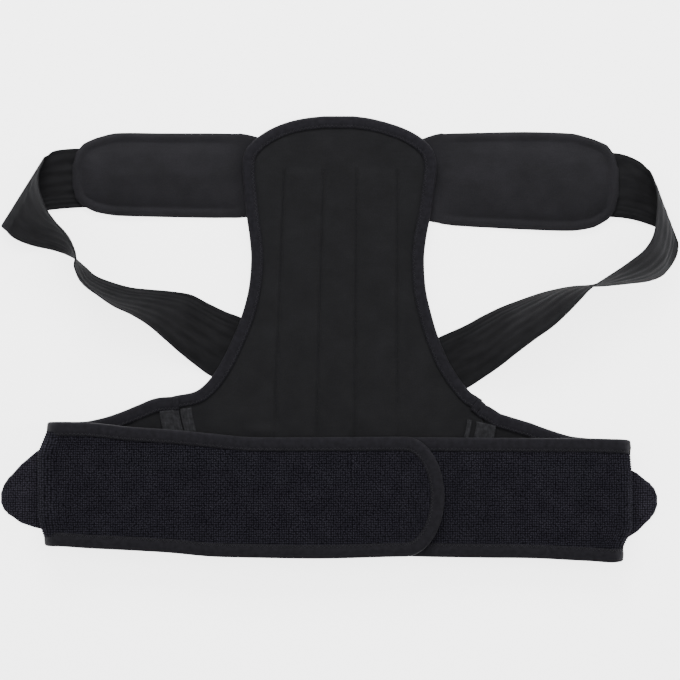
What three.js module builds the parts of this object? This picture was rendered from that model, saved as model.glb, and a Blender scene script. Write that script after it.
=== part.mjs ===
import * as THREE from "three";

// A posture corrector laid flat with its body side up: a neoprene back panel, a waist belt closed
// into a flat loop, two padded shoulder loops of ribbed elastic, and a pull tab on each loop's end.
// Millimetres. +X is to the right of the panel as it lies, +Y towards its top edge, +Z up.

// Back panel
const panelHeight = 392;
const panelHalfWidth = 85;
const panelWall = 3;
const channelSpacing = 68;
const channelWidth = 36;
const channelRise = 0.9;
const channelInset = 0.85;

// Waist belt
const beltHeight = 106;
const beltWall = 3;
const waistGap = 12;
const leftFoldReach = 266;
const rightFoldReach = 261;
const leftSeamReach = 151;
const rightSeamReach = 129;
const leftFlapLength = 346;
const leftFlapNose = 34;
const rightFlapLength = 340;
const flapSag = 2.5;

// Binding tape folded over every edge, and the tapes sewn over the two seams
const tapeWall = 0.8;
const bindingWidth = 10;
const seamTapeWall = 0.8;
const seamTapeSpacing = 15;
const leftSeamTapeWidths = [17, 10];
const rightSeamTapeWidths = [17, 4];

// Shoulder pads
const padWidth = 78;
const leftPadReach = 166;
const rightPadReach = 176;
const padSeamReach = 75;
const padTuck = 12;
const padThickness = 9;
const padFlange = 1.8;

// Ribbed elastic straps and their pull tabs
const strapWidth = 55;
const strapWall = 1.8;
const strapReach = 304;
const armDrop = 200;
const tabLength = 73;
const tabWidth = 78;
const tabWall = 2.4;
const leftTabReach = 304;
const rightTabReach = 285;
const leftTabMiddle = -136;
const rightTabMiddle = -141;

const clearance = 0.3;

const black = { panel: 0x25262a, loop: 0x1b1c22, binding: 0x303137, pad: 0x2b2a2f, strap: 0x35353a };

function cloth(colour) {
  return new THREE.MeshStandardMaterial({ color: colour, roughness: 0.95, metalness: 0 });
}

const materials = {
  panel: cloth(black.panel),
  loop: cloth(black.loop),
  binding: cloth(black.binding),
  pad: cloth(black.pad),
  strap: cloth(black.strap),
};

const group = new THREE.Group();

function addPiece(name, geometry, material) {
  const mesh = new THREE.Mesh(geometry, material);
  mesh.name = name;
  group.add(mesh);
}

// A closed body through a row of sections with the same number of corners. A cap is a ladder between
// the two halves of the section, or a fan from its first corner.
function loft(sections, cap = ladder) {
  const corners = sections[0].length;
  const positions = sections.flat().flatMap((corner) => [corner.x, corner.y, corner.z]);
  const faces = [];
  for (let row = 0; row + 1 < sections.length; row += 1) {
    for (let corner = 0; corner < corners; corner += 1) {
      const next = (corner + 1) % corners;
      const a = row * corners + corner;
      const b = row * corners + next;
      faces.push(a, b, b + corners, a, b + corners, a + corners);
    }
  }
  const last = (sections.length - 1) * corners;
  for (const [a, b, c] of cap(corners)) {
    faces.push(a, c, b, last + a, last + b, last + c);
  }
  if (signedVolume(positions, faces) < 0) {
    faces.reverse();
  }
  const geometry = new THREE.BufferGeometry();
  geometry.setAttribute("position", new THREE.Float32BufferAttribute(positions, 3));
  geometry.setIndex(faces);
  geometry.computeVertexNormals();
  return geometry;
}

function ladder(corners) {
  const faces = [];
  for (let near = 0; near + 1 < corners / 2; near += 1) {
    const far = corners - 1 - near;
    faces.push([near, near + 1, far - 1], [near, far - 1, far]);
  }
  return faces;
}

function fan(corners) {
  const faces = [];
  for (let corner = 1; corner + 1 < corners; corner += 1) {
    faces.push([0, corner, corner + 1]);
  }
  return faces;
}

function signedVolume(positions, faces) {
  let volume = 0;
  const corner = (index) => new THREE.Vector3().fromArray(positions, index * 3);
  for (let i = 0; i < faces.length; i += 3) {
    volume += corner(faces[i]).dot(corner(faces[i + 1]).cross(corner(faces[i + 2])));
  }
  return volume;
}

// Rows of a table with smooth rows in between
function smoothRows(rows, steps) {
  const names = Object.keys(rows[0]);
  const result = [];
  for (let i = 0; i + 1 < rows.length; i += 1) {
    const before = rows[Math.max(i - 1, 0)];
    const after = rows[Math.min(i + 2, rows.length - 1)];
    for (let step = 0; step < steps; step += 1) {
      const t = step / steps;
      const row = {};
      for (const name of names) {
        row[name] = catmullRom(before[name], rows[i][name], rows[i + 1][name], after[name], t);
      }
      result.push(row);
    }
  }
  result.push(rows[rows.length - 1]);
  return result;
}

function catmullRom(a, b, c, d, t) {
  const bend = (2 * a - 5 * b + 4 * c - d) * t * t;
  const twist = (3 * b - a - 3 * c + d) * t * t * t;
  return b + 0.5 * ((c - a) * t + bend + twist);
}

// The value of one column of a table at a place along its first column
function columnAt(rows, key, name, place) {
  const ahead = rows.findIndex((row) => row[key] >= place);
  if (ahead <= 0) {
    return rows[ahead < 0 ? rows.length - 1 : 0][name];
  }
  const share = (place - rows[ahead - 1][key]) / (rows[ahead][key] - rows[ahead - 1][key]);
  return THREE.MathUtils.lerp(rows[ahead - 1][name], rows[ahead][name], share);
}

// What a binding adds outside the edge that it is folded over
const bindingOverhang = clearance + tapeWall;

// A tape folded over an edge. Each place on the path has the edge's point on the mid-plane, the way
// out of the cloth and the way up from its face.
function foldedTape(path, wall) {
  const half = wall / 2;
  const inner = half + clearance;
  const outer = inner + tapeWall;
  const profile = [
    [-bindingWidth, -outer],
    [bindingOverhang, -outer],
    [bindingOverhang, outer],
    [-bindingWidth, outer],
    [-bindingWidth, inner],
    [clearance, inner],
    [clearance, -inner],
    [-bindingWidth, -inner],
  ];
  const sections = path.map(({ point, out, up }) =>
    profile.map(([across, rise]) =>
      point.clone().addScaledVector(out, across).addScaledVector(up, rise)));
  return loft(sections);
}

// The way out at each point of an edge path, square to the path and to the way up
function edgeFrames(points, ups, side) {
  return points.map((point, index) => {
    const before = points[Math.max(index - 1, 0)];
    const after = points[Math.min(index + 1, points.length - 1)];
    const along = after.clone().sub(before).normalize();
    const out = along.clone().cross(ups[index]).normalize().multiplyScalar(side);
    return { point, out, up: ups[index] };
  });
}

// Heights of the layers: the panel lies on the pads' flanges above, and lower down on the straps
// that cross behind it
const strapLayer = strapWall + clearance;
const panelLift = padFlange + 2 * clearance + tapeWall;
const panelFloor = Math.max(2 * strapLayer + clearance, panelLift);
const crossingLift = panelFloor - panelLift;
const backLevel = panelFloor + beltWall / 2;
const boundHalf = beltWall / 2 + clearance + tapeWall;
const rightFlapLevel = backLevel + beltWall + waistGap;
const leftFlapLevel = rightFlapLevel + 2 * boundHalf + clearance;
const beltMiddle = -142;
const panelBottom = beltMiddle - beltHeight * 0.47;

// Outline of the back panel from its bottom edge up: shares of its height, of its half width on
// each side, of the lift over the crossing straps, and of the stay channels' rise
const panelRows = [
  { up: 0.002, left: 1.78, right: 1.515, crossing: 1, channel: 0 },
  { up: 0.1, left: 1.78, right: 1.515, crossing: 1, channel: 0.3 },
  { up: 0.22, left: 1.78, right: 1.515, crossing: 1, channel: 1 },
  { up: 0.338, left: 1.78, right: 1.515, crossing: 1, channel: 1 },
  { up: 0.352, left: 1.78, right: 1.45, crossing: 1, channel: 1 },
  { up: 0.362, left: 1.56, right: 1.377, crossing: 1, channel: 1 },
  { up: 0.375, left: 1.451, right: 1.32, crossing: 1, channel: 1 },
  { up: 0.402, left: 1.335, right: 1.225, crossing: 1, channel: 1 },
  { up: 0.441, left: 1.223, right: 1.12, crossing: 1, channel: 1 },
  { up: 0.489, left: 1.117, right: 1.027, crossing: 0.85, channel: 1 },
  { up: 0.538, left: 1.028, right: 0.957, crossing: 0.6, channel: 1 },
  { up: 0.602, left: 0.95, right: 0.89, crossing: 0.3, channel: 1 },
  { up: 0.669, left: 0.922, right: 0.871, crossing: 0.1, channel: 1 },
  { up: 0.72, left: 0.937, right: 0.893, crossing: 0, channel: 1 },
  { up: 0.772, left: 0.97, right: 0.938, crossing: 0, channel: 1 },
  { up: 0.832, left: 0.997, right: 0.98, crossing: 0, channel: 1 },
  { up: 0.882, left: 1.014, right: 1.005, crossing: 0, channel: 0.8 },
  { up: 0.916, left: 0.992, right: 0.975, crossing: 0, channel: 0.2 },
  { up: 0.937, left: 0.92, right: 0.905, crossing: 0, channel: 0 },
  { up: 0.955, left: 0.82, right: 0.795, crossing: 0, channel: 0 },
  { up: 0.97, left: 0.7, right: 0.655, crossing: 0, channel: 0 },
  { up: 0.983, left: 0.545, right: 0.475, crossing: 0, channel: 0 },
  { up: 0.992, left: 0.36, right: 0.3, crossing: 0, channel: 0 },
  { up: 0.9965, left: 0.17, right: 0.14, crossing: 0, channel: 0 },
];

// Where the panel's free edge starts above each seam, as a share of its height
const panelCorners = { left: 0.352, right: 0.338 };

function panelPlace(row) {
  return {
    y: panelBottom + row.up * panelHeight,
    left: -row.left * panelHalfWidth,
    right: row.right * panelHalfWidth,
    floor: panelLift + crossingLift * row.crossing,
  };
}

// The cut edge of the panel lies inside the fold of its binding
function panelEdge(row, side) {
  const place = panelPlace(row);
  return place[side] - Math.sign(place[side]) * Math.min(bindingOverhang, Math.abs(place[side]) / 2);
}

function makePanel() {
  const channelEdges = [-1, 1].flatMap((side) =>
    [-0.5, 0, 0.5].map((share) => ({
      x: side * channelSpacing / 2 + share * channelWidth,
      rise: share === 0 ? channelRise : -channelRise / 3,
    })));
  const outermost = (channelSpacing + channelWidth) / 2;
  const sections = panelRows.map((row) => {
    const { y, floor } = panelPlace(row);
    const left = panelEdge(row, "left");
    const right = panelEdge(row, "right");
    const room = channelInset * Math.min(Math.abs(left), Math.abs(right)) / outermost;
    const narrowing = Math.min(1, room);
    const top = channelEdges.map(({ x, rise }) =>
      new THREE.Vector3(x * narrowing, y, floor + panelWall + rise * row.channel));
    return [
      new THREE.Vector3(left, y, floor),
      new THREE.Vector3(left, y, floor + panelWall),
      ...top,
      new THREE.Vector3(right, y, floor + panelWall),
      new THREE.Vector3(right, y, floor),
    ];
  });
  addPiece("back_panel", loft(sections, fan), materials.panel);
}

// Rows of the panel whose edge the tape is folded over, from the corner at each seam upwards
function panelBindingPath() {
  const pointOf = (row, side) => {
    const { y, floor } = panelPlace(row);
    return new THREE.Vector3(panelEdge(row, side), y, floor + panelWall / 2);
  };
  const free = (side, corner) => panelRows.filter((row) => row.up >= corner).map((row) => pointOf(row, side));
  const leftSide = free("left", panelCorners.left);
  const rightSide = free("right", panelCorners.right);
  leftSide[0].x += clearance;
  rightSide[0].x -= clearance;
  const points = [...leftSide, ...rightSide.reverse()];
  return edgeFrames(points, points.map(() => new THREE.Vector3(0, 0, 1)), -1);
}

function makePanelBindings() {
  addPiece("panel_binding", foldedTape(panelBindingPath(), panelWall), materials.binding);
  const bottom = panelRows[0];
  const { y, floor } = panelPlace(bottom);
  const ends = [panelEdge(bottom, "left"), panelEdge(bottom, "right")];
  const points = ends.map((x) => new THREE.Vector3(x, y, floor + panelWall / 2));
  const path = edgeFrames(points, points.map(() => new THREE.Vector3(0, 0, 1)), 1);
  addPiece("panel_bottom_binding", foldedTape(path, panelWall), materials.binding);
}

// Edges of each belt half, as shares of the belt's height from its middle. The back run goes from
// the seam to the fold, the front run from the fold to the flap's end.
const beltRuns = {
  left: {
    back: [
      { run: 0, top: 0.83, bottom: -0.46 },
      { run: 0.147, top: 0.815, bottom: -0.45 },
      { run: 0.311, top: 0.752, bottom: -0.44 },
      { run: 0.459, top: 0.694, bottom: -0.43 },
      { run: 0.59, top: 0.652, bottom: -0.42 },
      { run: 0.754, top: 0.62, bottom: -0.41 },
      { run: 1, top: 0.618, bottom: -0.4 },
    ],
    front: [
      { run: 0, top: 0.618, bottom: -0.4 },
      { run: 0.099, top: 0.613, bottom: -0.418 },
      { run: 0.213, top: 0.578, bottom: -0.435 },
      { run: 0.327, top: 0.555, bottom: -0.455 },
      { run: 0.439, top: 0.524, bottom: -0.485 },
      { run: 0.553, top: 0.492, bottom: -0.495 },
      { run: 0.761, top: 0.491, bottom: -0.503 },
      { run: 1, top: 0.495, bottom: -0.486 },
    ],
  },
  right: {
    back: [
      { run: 0, top: 0.765, bottom: -0.46 },
      { run: 0.12, top: 0.686, bottom: -0.463 },
      { run: 0.34, top: 0.609, bottom: -0.469 },
      { run: 0.49, top: 0.545, bottom: -0.475 },
      { run: 0.64, top: 0.494, bottom: -0.48 },
      { run: 0.82, top: 0.472, bottom: -0.5 },
      { run: 1, top: 0.455, bottom: -0.525 },
    ],
    front: [
      { run: 0, top: 0.452, bottom: -0.537 },
      { run: 0.085, top: 0.47, bottom: -0.525 },
      { run: 0.227, top: 0.482, bottom: -0.505 },
      { run: 0.37, top: 0.485, bottom: -0.499 },
      { run: 0.56, top: 0.487, bottom: -0.486 },
      { run: 0.63, top: 0.46, bottom: -0.46 },
      { run: 1, top: 0.43, bottom: -0.43 },
    ],
  },
};

// Sag of a front flap between its fold and the part that lies on the other flap
const sagRows = [
  { run: 0, sag: 0 },
  { run: 0.12, sag: 0.7 },
  { run: 0.28, sag: 1 },
  { run: 0.4, sag: 0.6 },
  { run: 0.49, sag: 0 },
  { run: 1, sag: 0 },
];

const foldSteps = 7;
const noseSteps = 6;

// Stations of a belt half along its mid-plane, seen from above the fold on the left. A place has a
// point in the X-Z plane, the way up from the inner face, and the two edges.
function beltStations({ seamReach, foldReach, flapLevel, flapLength, nose, runs, side }) {
  const radius = (flapLevel - backLevel) / 2;
  const foldCentre = foldReach - beltWall / 2 - radius;
  const stations = [];
  const place = (x, z, up, row) => ({
    x: side * x,
    z,
    up: new THREE.Vector3(side * up[0], 0, up[1]),
    top: beltMiddle + row.top * beltHeight - bindingOverhang,
    bottom: beltMiddle + row.bottom * beltHeight + bindingOverhang,
  });
  const seamGap = seamReach + clearance;
  for (const row of runs.back) {
    const x = THREE.MathUtils.lerp(seamGap, foldCentre, row.run);
    stations.push(place(x, backLevel, [0, 1], row));
  }
  const folded = runs.front[0];
  const flat = runs.back[runs.back.length - 1];
  for (let step = 1; step < foldSteps; step += 1) {
    const share = step / foldSteps;
    const turn = share * Math.PI;
    const row = {
      top: THREE.MathUtils.lerp(flat.top, folded.top, share),
      bottom: THREE.MathUtils.lerp(flat.bottom, folded.bottom, share),
    };
    const x = foldCentre + radius * Math.sin(turn);
    const z = backLevel + radius * (1 - Math.cos(turn));
    stations.push(place(x, z, [-Math.sin(turn), Math.cos(turn)], row));
  }
  const straight = flapLength - nose;
  const runPlaces = [...new Set([...runs.front, ...sagRows].map((row) => row.run))];
  for (const run of runPlaces.sort((a, b) => a - b)) {
    const row = {
      top: columnAt(runs.front, "run", "top", run),
      bottom: columnAt(runs.front, "run", "bottom", run),
    };
    const sag = flapSag * columnAt(sagRows, "run", "sag", run);
    stations.push(place(foldCentre - run * straight, flapLevel - sag, [0, -1], row));
  }
  const end = runs.front[runs.front.length - 1];
  const middle = (end.top + end.bottom) / 2;
  for (let step = 1; step < noseSteps && nose > 0; step += 1) {
    const turn = (step / noseSteps) * (Math.PI / 2);
    const row = {
      top: middle + (end.top - middle) * Math.cos(turn),
      bottom: middle + (end.bottom - middle) * Math.cos(turn),
    };
    stations.push(place(foldCentre - straight - nose * Math.sin(turn), flapLevel, [0, -1], row));
  }
  return stations;
}

function makeBeltHalf(name, stations) {
  const half = beltWall / 2;
  const sections = stations.map(({ x, z, up, top, bottom }) => {
    const corner = (y, rise) => new THREE.Vector3(x, y, z).addScaledVector(up, rise);
    return [corner(bottom, -half), corner(top, -half), corner(top, half), corner(bottom, half)];
  });
  addPiece(name, loft(sections), materials.loop);
}

function makeBeltBinding(name, stations, side) {
  const edge = (key) => stations.map((station) => new THREE.Vector3(station.x, station[key], station.z));
  const points = [...edge("top"), ...edge("bottom").reverse()];
  const ups = stations.map((station) => station.up);
  const path = edgeFrames(points, [...ups, ...ups.slice().reverse()], side);
  addPiece(name, foldedTape(path, beltWall), materials.binding);
}

function makeBelt() {
  const left = beltStations({
    seamReach: leftSeamReach,
    foldReach: leftFoldReach,
    flapLevel: leftFlapLevel,
    flapLength: leftFlapLength,
    nose: leftFlapNose,
    runs: beltRuns.left,
    side: -1,
  });
  const right = beltStations({
    seamReach: rightSeamReach,
    foldReach: rightFoldReach,
    flapLevel: rightFlapLevel,
    flapLength: rightFlapLength,
    nose: 0,
    runs: beltRuns.right,
    side: 1,
  });
  makeBeltHalf("left_belt_flap", left);
  makeBeltHalf("right_belt_flap", right);
  makeBeltBinding("left_belt_binding", left, 1);
  makeBeltBinding("right_belt_binding", right, -1);
}

// Two tapes lie over each seam between the panel and a belt half
function makeSeamTapes() {
  const level = panelFloor + panelWall + clearance;
  const seams = [
    { name: "left", reach: -leftSeamReach, widths: leftSeamTapeWidths, top: 0.68 },
    { name: "right", reach: rightSeamReach, widths: rightSeamTapeWidths, top: 0.57 },
  ];
  for (const { name, reach, widths, top } of seams) {
    widths.forEach((width, index) => {
      const inward = index === 0 ? 0 : seamTapeSpacing;
      const x = reach - Math.sign(reach) * inward;
      const high = beltMiddle + top * beltHeight;
      const low = beltMiddle - beltHeight * 0.33;
      const tape = new THREE.BoxGeometry(width, high - low, seamTapeWall);
      tape.translate(x, (high + low) / 2, level + seamTapeWall / 2);
      const label = index === 0 ? "seam_tape" : "inner_seam_tape";
      addPiece(`${name}_${label}`, tape, materials.strap);
    });
  }
}

// Outline of each shoulder pad from under the panel's edge outwards: shares of its reach and width,
// of its thickness, and of the lift of its underside over the strap's end
const padRows = [
  { run: 0, leftTop: 0.45, leftBottom: -0.42, rightTop: 0.42, rightBottom: -0.42, plump: 0, over: 0 },
  { run: 0.14, leftTop: 0.52, leftBottom: -0.44, rightTop: 0.545, rightBottom: -0.47, plump: 0, over: 0 },
  { run: 0.165, leftTop: 0.52, leftBottom: -0.44, rightTop: 0.545, rightBottom: -0.48, plump: 0.6, over: 0 },
  { run: 0.21, leftTop: 0.522, leftBottom: -0.44, rightTop: 0.55, rightBottom: -0.49, plump: 0.9, over: 0 },
  { run: 0.3, leftTop: 0.525, leftBottom: -0.435, rightTop: 0.555, rightBottom: -0.51, plump: 1, over: 0 },
  { run: 0.55, leftTop: 0.53, leftBottom: -0.42, rightTop: 0.56, rightBottom: -0.545, plump: 1, over: 0.3 },
  { run: 0.78, leftTop: 0.53, leftBottom: -0.405, rightTop: 0.54, rightBottom: -0.56, plump: 1, over: 1 },
  { run: 0.88, leftTop: 0.47, leftBottom: -0.37, rightTop: 0.47, rightBottom: -0.54, plump: 0.9, over: 1 },
  { run: 0.945, leftTop: 0.4, leftBottom: -0.32, rightTop: 0.385, rightBottom: -0.48, plump: 0.7, over: 1 },
  { run: 0.98, leftTop: 0.3, leftBottom: -0.24, rightTop: 0.27, rightBottom: -0.38, plump: 0.5, over: 1 },
  { run: 1, leftTop: 0.16, leftBottom: -0.1, rightTop: 0.12, rightBottom: -0.2, plump: 0.3, over: 1 },
];

// Half section of a pad from edge to edge: shares of its width and of its crown
const padCrown = [
  { across: 0, crown: 0 },
  { across: 0.05, crown: 0.55 },
  { across: 0.14, crown: 0.85 },
  { across: 0.5, crown: 1 },
  { across: 0.86, crown: 0.85 },
  { across: 0.95, crown: 0.55 },
  { across: 1, crown: 0 },
];

const padMiddle = 144;
function makePad(side, name, reach) {
  const tuck = padSeamReach - padTuck;
  const sections = padRows.map((row) => {
    const x = side * THREE.MathUtils.lerp(tuck, padSeamReach + reach, row.run);
    const top = padMiddle + row[`${name}Top`] * padWidth;
    const bottom = padMiddle + row[`${name}Bottom`] * padWidth;
    const floor = row.over * strapLayer;
    const crown = (padThickness - padFlange) * row.plump;
    const upper = padCrown.map(({ across, crown: rise }) =>
      new THREE.Vector3(x, THREE.MathUtils.lerp(bottom, top, across), floor + padFlange + crown * rise));
    return [new THREE.Vector3(x, top, floor), new THREE.Vector3(x, bottom, floor), ...upper];
  });
  addPiece(`${name}_shoulder_pad`, loft(sections, fan), materials.pad);
}

// The two edges of each strap from under its pad, over the diagonal fold and the half turn, and
// behind the panel to its pull tab. The high edge is the one that stands up at the turn. Columns
// are shares of the strap's reach, of the drop from the pads to the belt, of its width, and of the
// layer by which it passes over the other strap.
const strapColumns = ["outHigh", "upHigh", "outLow", "upLow", "liftHigh", "liftLow", "bow", "over"];
const strapTables = {
  left: [
    [0.675, 0.851, 0.675, 0.599, 0, 0, 0, 0],
    [0.772, 0.855, 0.746, 0.592, 0, 0, 0, 0],
    [0.822, 0.851, 0.822, 0.585, 0, 0, 0, 0],
    [0.85, 0.842, 0.888, 0.572, 0, 0, 0, 0],
    [0.867, 0.824, 0.964, 0.545, 0.02, 0.02, 0, 0],
    [0.876, 0.812, 0.995, 0.509, 0.1, 0.09, 0, 0],
    [0.878, 0.792, 0.985, 0.48, 0.2, 0.14, 0, 0],
    [0.888, 0.752, 0.976, 0.464, 0.26, 0.13, 0, 0],
    [0.89, 0.704, 0.96, 0.446, 0.34, 0.1, 0.02, 0],
    [0.882, 0.645, 0.933, 0.428, 0.44, 0.07, 0.05, 0],
    [0.864, 0.581, 0.898, 0.412, 0.55, 0.04, 0.08, 0],
    [0.837, 0.522, 0.861, 0.401, 0.65, 0.02, 0.12, 0],
    [0.811, 0.471, 0.828, 0.387, 0.72, 0.01, 0.12, 0],
    [0.788, 0.419, 0.805, 0.374, 0.77, 0.01, 0.06, 0],
    [0.775, 0.369, 0.783, 0.356, 0.79, 0.01, 0, 0],
    [0.778, 0.318, 0.754, 0.32, 0.78, 0.01, -0.06, 0],
    [0.757, 0.261, 0.725, 0.282, 0.74, 0.01, -0.12, 0],
    [0.718, 0.202, 0.68, 0.254, 0.68, 0.01, -0.12, 0],
    [0.667, 0.146, 0.621, 0.229, 0.61, 0.01, -0.1, 0],
    [0.613, 0.106, 0.562, 0.219, 0.53, 0.01, -0.07, 0],
    [0.563, 0.057, 0.5, 0.211, 0.43, 0.01, -0.05, 0],
    [0.518, -0.004, 0.441, 0.196, 0.3, 0.01, -0.02, 0],
    [0.473, -0.065, 0.391, 0.158, 0.15, 0.01, 0, 0],
    [0.423, -0.126, 0.337, 0.119, 0.04, 0, 0, 0],
    [0.373, -0.176, 0.287, 0.09, 0, 0, 0, 0],
    [0.252, -0.243, 0.175, 0.005, 0, 0, 0, 1],
    [0.124, -0.337, 0.053, -0.085, 0, 0, 0, 1],
    [-0.003, -0.41, -0.068, -0.157, 0, 0, 0, 1],
    [-0.175, -0.508, -0.24, -0.256, 0, 0, 0, 1],
    [-0.382, -0.625, -0.447, -0.373, 0, 0, 0, 0.6],
    [-0.559, -0.725, -0.61, -0.47, 0, 0, 0, 0],
  ],
  right: [
    [0.695, 0.837, 0.695, 0.554, 0, 0, 0, 0],
    [0.799, 0.837, 0.787, 0.549, 0, 0, 0, 0],
    [0.846, 0.826, 0.858, 0.538, 0, 0, 0, 0],
    [0.888, 0.797, 0.923, 0.509, 0, 0, 0, 0],
    [0.908, 0.768, 0.97, 0.473, 0.02, 0.02, 0, 0],
    [0.919, 0.748, 0.996, 0.445, 0.1, 0.09, 0, 0],
    [0.925, 0.717, 1, 0.414, 0.22, 0.13, 0, 0],
    [0.932, 0.675, 0.999, 0.396, 0.32, 0.12, 0.02, 0],
    [0.934, 0.624, 0.996, 0.375, 0.42, 0.1, 0.05, 0],
    [0.932, 0.567, 0.987, 0.345, 0.51, 0.07, 0.08, 0],
    [0.927, 0.509, 0.972, 0.311, 0.59, 0.04, 0.1, 0],
    [0.916, 0.452, 0.95, 0.279, 0.66, 0.02, 0.12, 0],
    [0.893, 0.398, 0.911, 0.258, 0.71, 0.01, 0.12, 0],
    [0.858, 0.354, 0.867, 0.25, 0.75, 0.01, 0.1, 0],
    [0.82, 0.312, 0.823, 0.243, 0.77, 0.01, 0.06, 0],
    [0.778, 0.27, 0.778, 0.237, 0.79, 0.01, 0.02, 0],
    [0.735, 0.225, 0.733, 0.235, 0.79, 0.01, -0.03, 0],
    [0.706, 0.178, 0.689, 0.234, 0.77, 0.01, -0.08, 0],
    [0.668, 0.117, 0.644, 0.223, 0.72, 0.01, -0.12, 0],
    [0.624, 0.054, 0.591, 0.203, 0.65, 0.01, -0.1, 0],
    [0.573, -0.002, 0.533, 0.173, 0.57, 0.01, -0.08, 0],
    [0.521, -0.063, 0.475, 0.14, 0.46, 0.01, -0.05, 0],
    [0.47, -0.126, 0.42, 0.1, 0.3, 0.01, -0.02, 0],
    [0.42, -0.18, 0.367, 0.056, 0.12, 0, 0, 0],
    [0.367, -0.232, 0.305, 0.014, 0, 0, 0, 0],
    [0.24, -0.328, 0.175, -0.077, 0, 0, 0, 0],
    [0.067, -0.416, 0.004, -0.16, 0, 0, 0, 0],
    [-0.118, -0.511, -0.178, -0.254, 0, 0, 0, 0],
    [-0.325, -0.614, -0.385, -0.358, 0, 0, 0, 0],
    [-0.535, -0.716, -0.589, -0.455, 0, 0, 0, 0],
  ],
};

const strapPoints = 6;
const strapSteps = 2;

// The strap's last section lies against the inner end of the tab that it is sewn to
function strapEnd(tab) {
  const out = -(tab.reach - tabLength - clearance);
  const share = (y) => y / armDrop;
  return {
    outHigh: out / strapReach,
    upHigh: share(tab.middle - strapWidth / 2),
    outLow: out / strapReach,
    upLow: share(tab.middle + strapWidth / 2),
    liftHigh: 0,
    liftLow: 0,
    bow: 0,
    over: 0,
  };
}

function makeStrap(side, name, tab) {
  const table = strapTables[name].map((values) =>
    Object.fromEntries(strapColumns.map((column, index) => [column, values[index]])));
  const rows = smoothRows([...table, strapEnd(tab)], strapSteps);
  const half = strapWall / 2;
  const edge = (row, end) => new THREE.Vector3(
    side * row[`out${end}`] * strapReach,
    row[`up${end}`] * armDrop,
    half + Math.max(row[`lift${end}`], 0) * strapWidth + Math.max(row.over, 0) * strapLayer,
  );
  const middles = rows.map((row) => edge(row, "High").add(edge(row, "Low")).multiplyScalar(0.5));
  let face = new THREE.Vector3(0, 0, side);
  const sections = rows.map((row, index) => {
    const high = edge(row, "High");
    const low = edge(row, "Low");
    const before = middles[Math.max(index - 1, 0)];
    const after = middles[Math.min(index + 1, middles.length - 1)];
    const along = after.clone().sub(before);
    const across = low.clone().sub(high);
    const normal = along.cross(across).normalize();
    if (normal.lengthSq() < 0.5) {
      normal.copy(face);
    }
    face = normal;
    const line = [];
    for (let step = 0; step < strapPoints; step += 1) {
      const share = step / (strapPoints - 1);
      const bow = row.bow * strapWidth * Math.sin(share * Math.PI);
      line.push(high.clone().lerp(low, share).addScaledVector(normal, bow));
    }
    const upper = line.map((point) => point.clone().addScaledVector(normal, half));
    const lower = line.map((point) => point.clone().addScaledVector(normal, -half)).reverse();
    return [...upper, ...lower];
  });
  addPiece(`${name}_strap`, loft(sections), materials.strap);
}

// Outline of a pull tab from its tip to the end that is sewn to the strap
const tabRows = [
  { run: 0, top: 0.06, bottom: -0.06 },
  { run: 0.035, top: 0.145, bottom: -0.14 },
  { run: 0.09, top: 0.215, bottom: -0.205 },
  { run: 0.25, top: 0.35, bottom: -0.33 },
  { run: 0.51, top: 0.5, bottom: -0.44 },
  { run: 0.75, top: 0.53, bottom: -0.46 },
  { run: 1, top: 0.46, bottom: -0.44 },
];

function makeTab(side, name, reach, middle) {
  const sections = tabRows.map((row) => {
    const x = side * (reach - row.run * tabLength);
    const top = middle + row.top * tabWidth;
    const bottom = middle + row.bottom * tabWidth;
    return [
      new THREE.Vector3(x, top, 0),
      new THREE.Vector3(x, top, tabWall),
      new THREE.Vector3(x, bottom, tabWall),
      new THREE.Vector3(x, bottom, 0),
    ];
  });
  addPiece(`${name}_pull_tab`, loft(sections), materials.panel);
}

makePanel();
makePanelBindings();
makeBelt();
makeSeamTapes();
makePad(-1, "left", leftPadReach);
makePad(1, "right", rightPadReach);
makeStrap(-1, "left", { reach: rightTabReach, middle: rightTabMiddle });
makeStrap(1, "right", { reach: leftTabReach, middle: leftTabMiddle });
makeTab(-1, "left", leftTabReach, leftTabMiddle);
makeTab(1, "right", rightTabReach, rightTabMiddle);

// The origin is at the middle of the underside
const bounds = new THREE.Box3().setFromObject(group);
group.position.set(
  -(bounds.min.x + bounds.max.x) / 2,
  -(bounds.min.y + bounds.max.y) / 2,
  -bounds.min.z,
);

export default group;
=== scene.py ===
import math

import bmesh
import bpy
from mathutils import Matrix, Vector, noise
from mathutils.kdtree import KDTree


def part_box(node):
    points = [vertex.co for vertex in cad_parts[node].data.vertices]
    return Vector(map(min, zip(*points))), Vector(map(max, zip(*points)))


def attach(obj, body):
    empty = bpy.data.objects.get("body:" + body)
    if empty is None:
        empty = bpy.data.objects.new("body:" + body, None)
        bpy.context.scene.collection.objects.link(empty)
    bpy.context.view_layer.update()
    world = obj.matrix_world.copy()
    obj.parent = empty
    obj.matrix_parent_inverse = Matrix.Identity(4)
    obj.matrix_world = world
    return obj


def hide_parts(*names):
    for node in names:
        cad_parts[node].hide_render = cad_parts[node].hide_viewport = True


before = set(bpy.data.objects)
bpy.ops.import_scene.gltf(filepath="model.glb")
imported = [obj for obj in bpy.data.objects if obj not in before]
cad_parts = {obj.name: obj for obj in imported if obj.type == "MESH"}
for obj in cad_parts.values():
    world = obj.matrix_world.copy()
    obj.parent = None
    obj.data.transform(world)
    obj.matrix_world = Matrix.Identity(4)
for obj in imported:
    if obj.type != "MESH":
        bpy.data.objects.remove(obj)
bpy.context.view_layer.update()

# The back panel: one piece of knit-faced neoprene, rounded at the top, narrow at the waist and
# flared into the middle of the belt. Two pockets for stays are sewn down it by four stitched lines.

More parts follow.
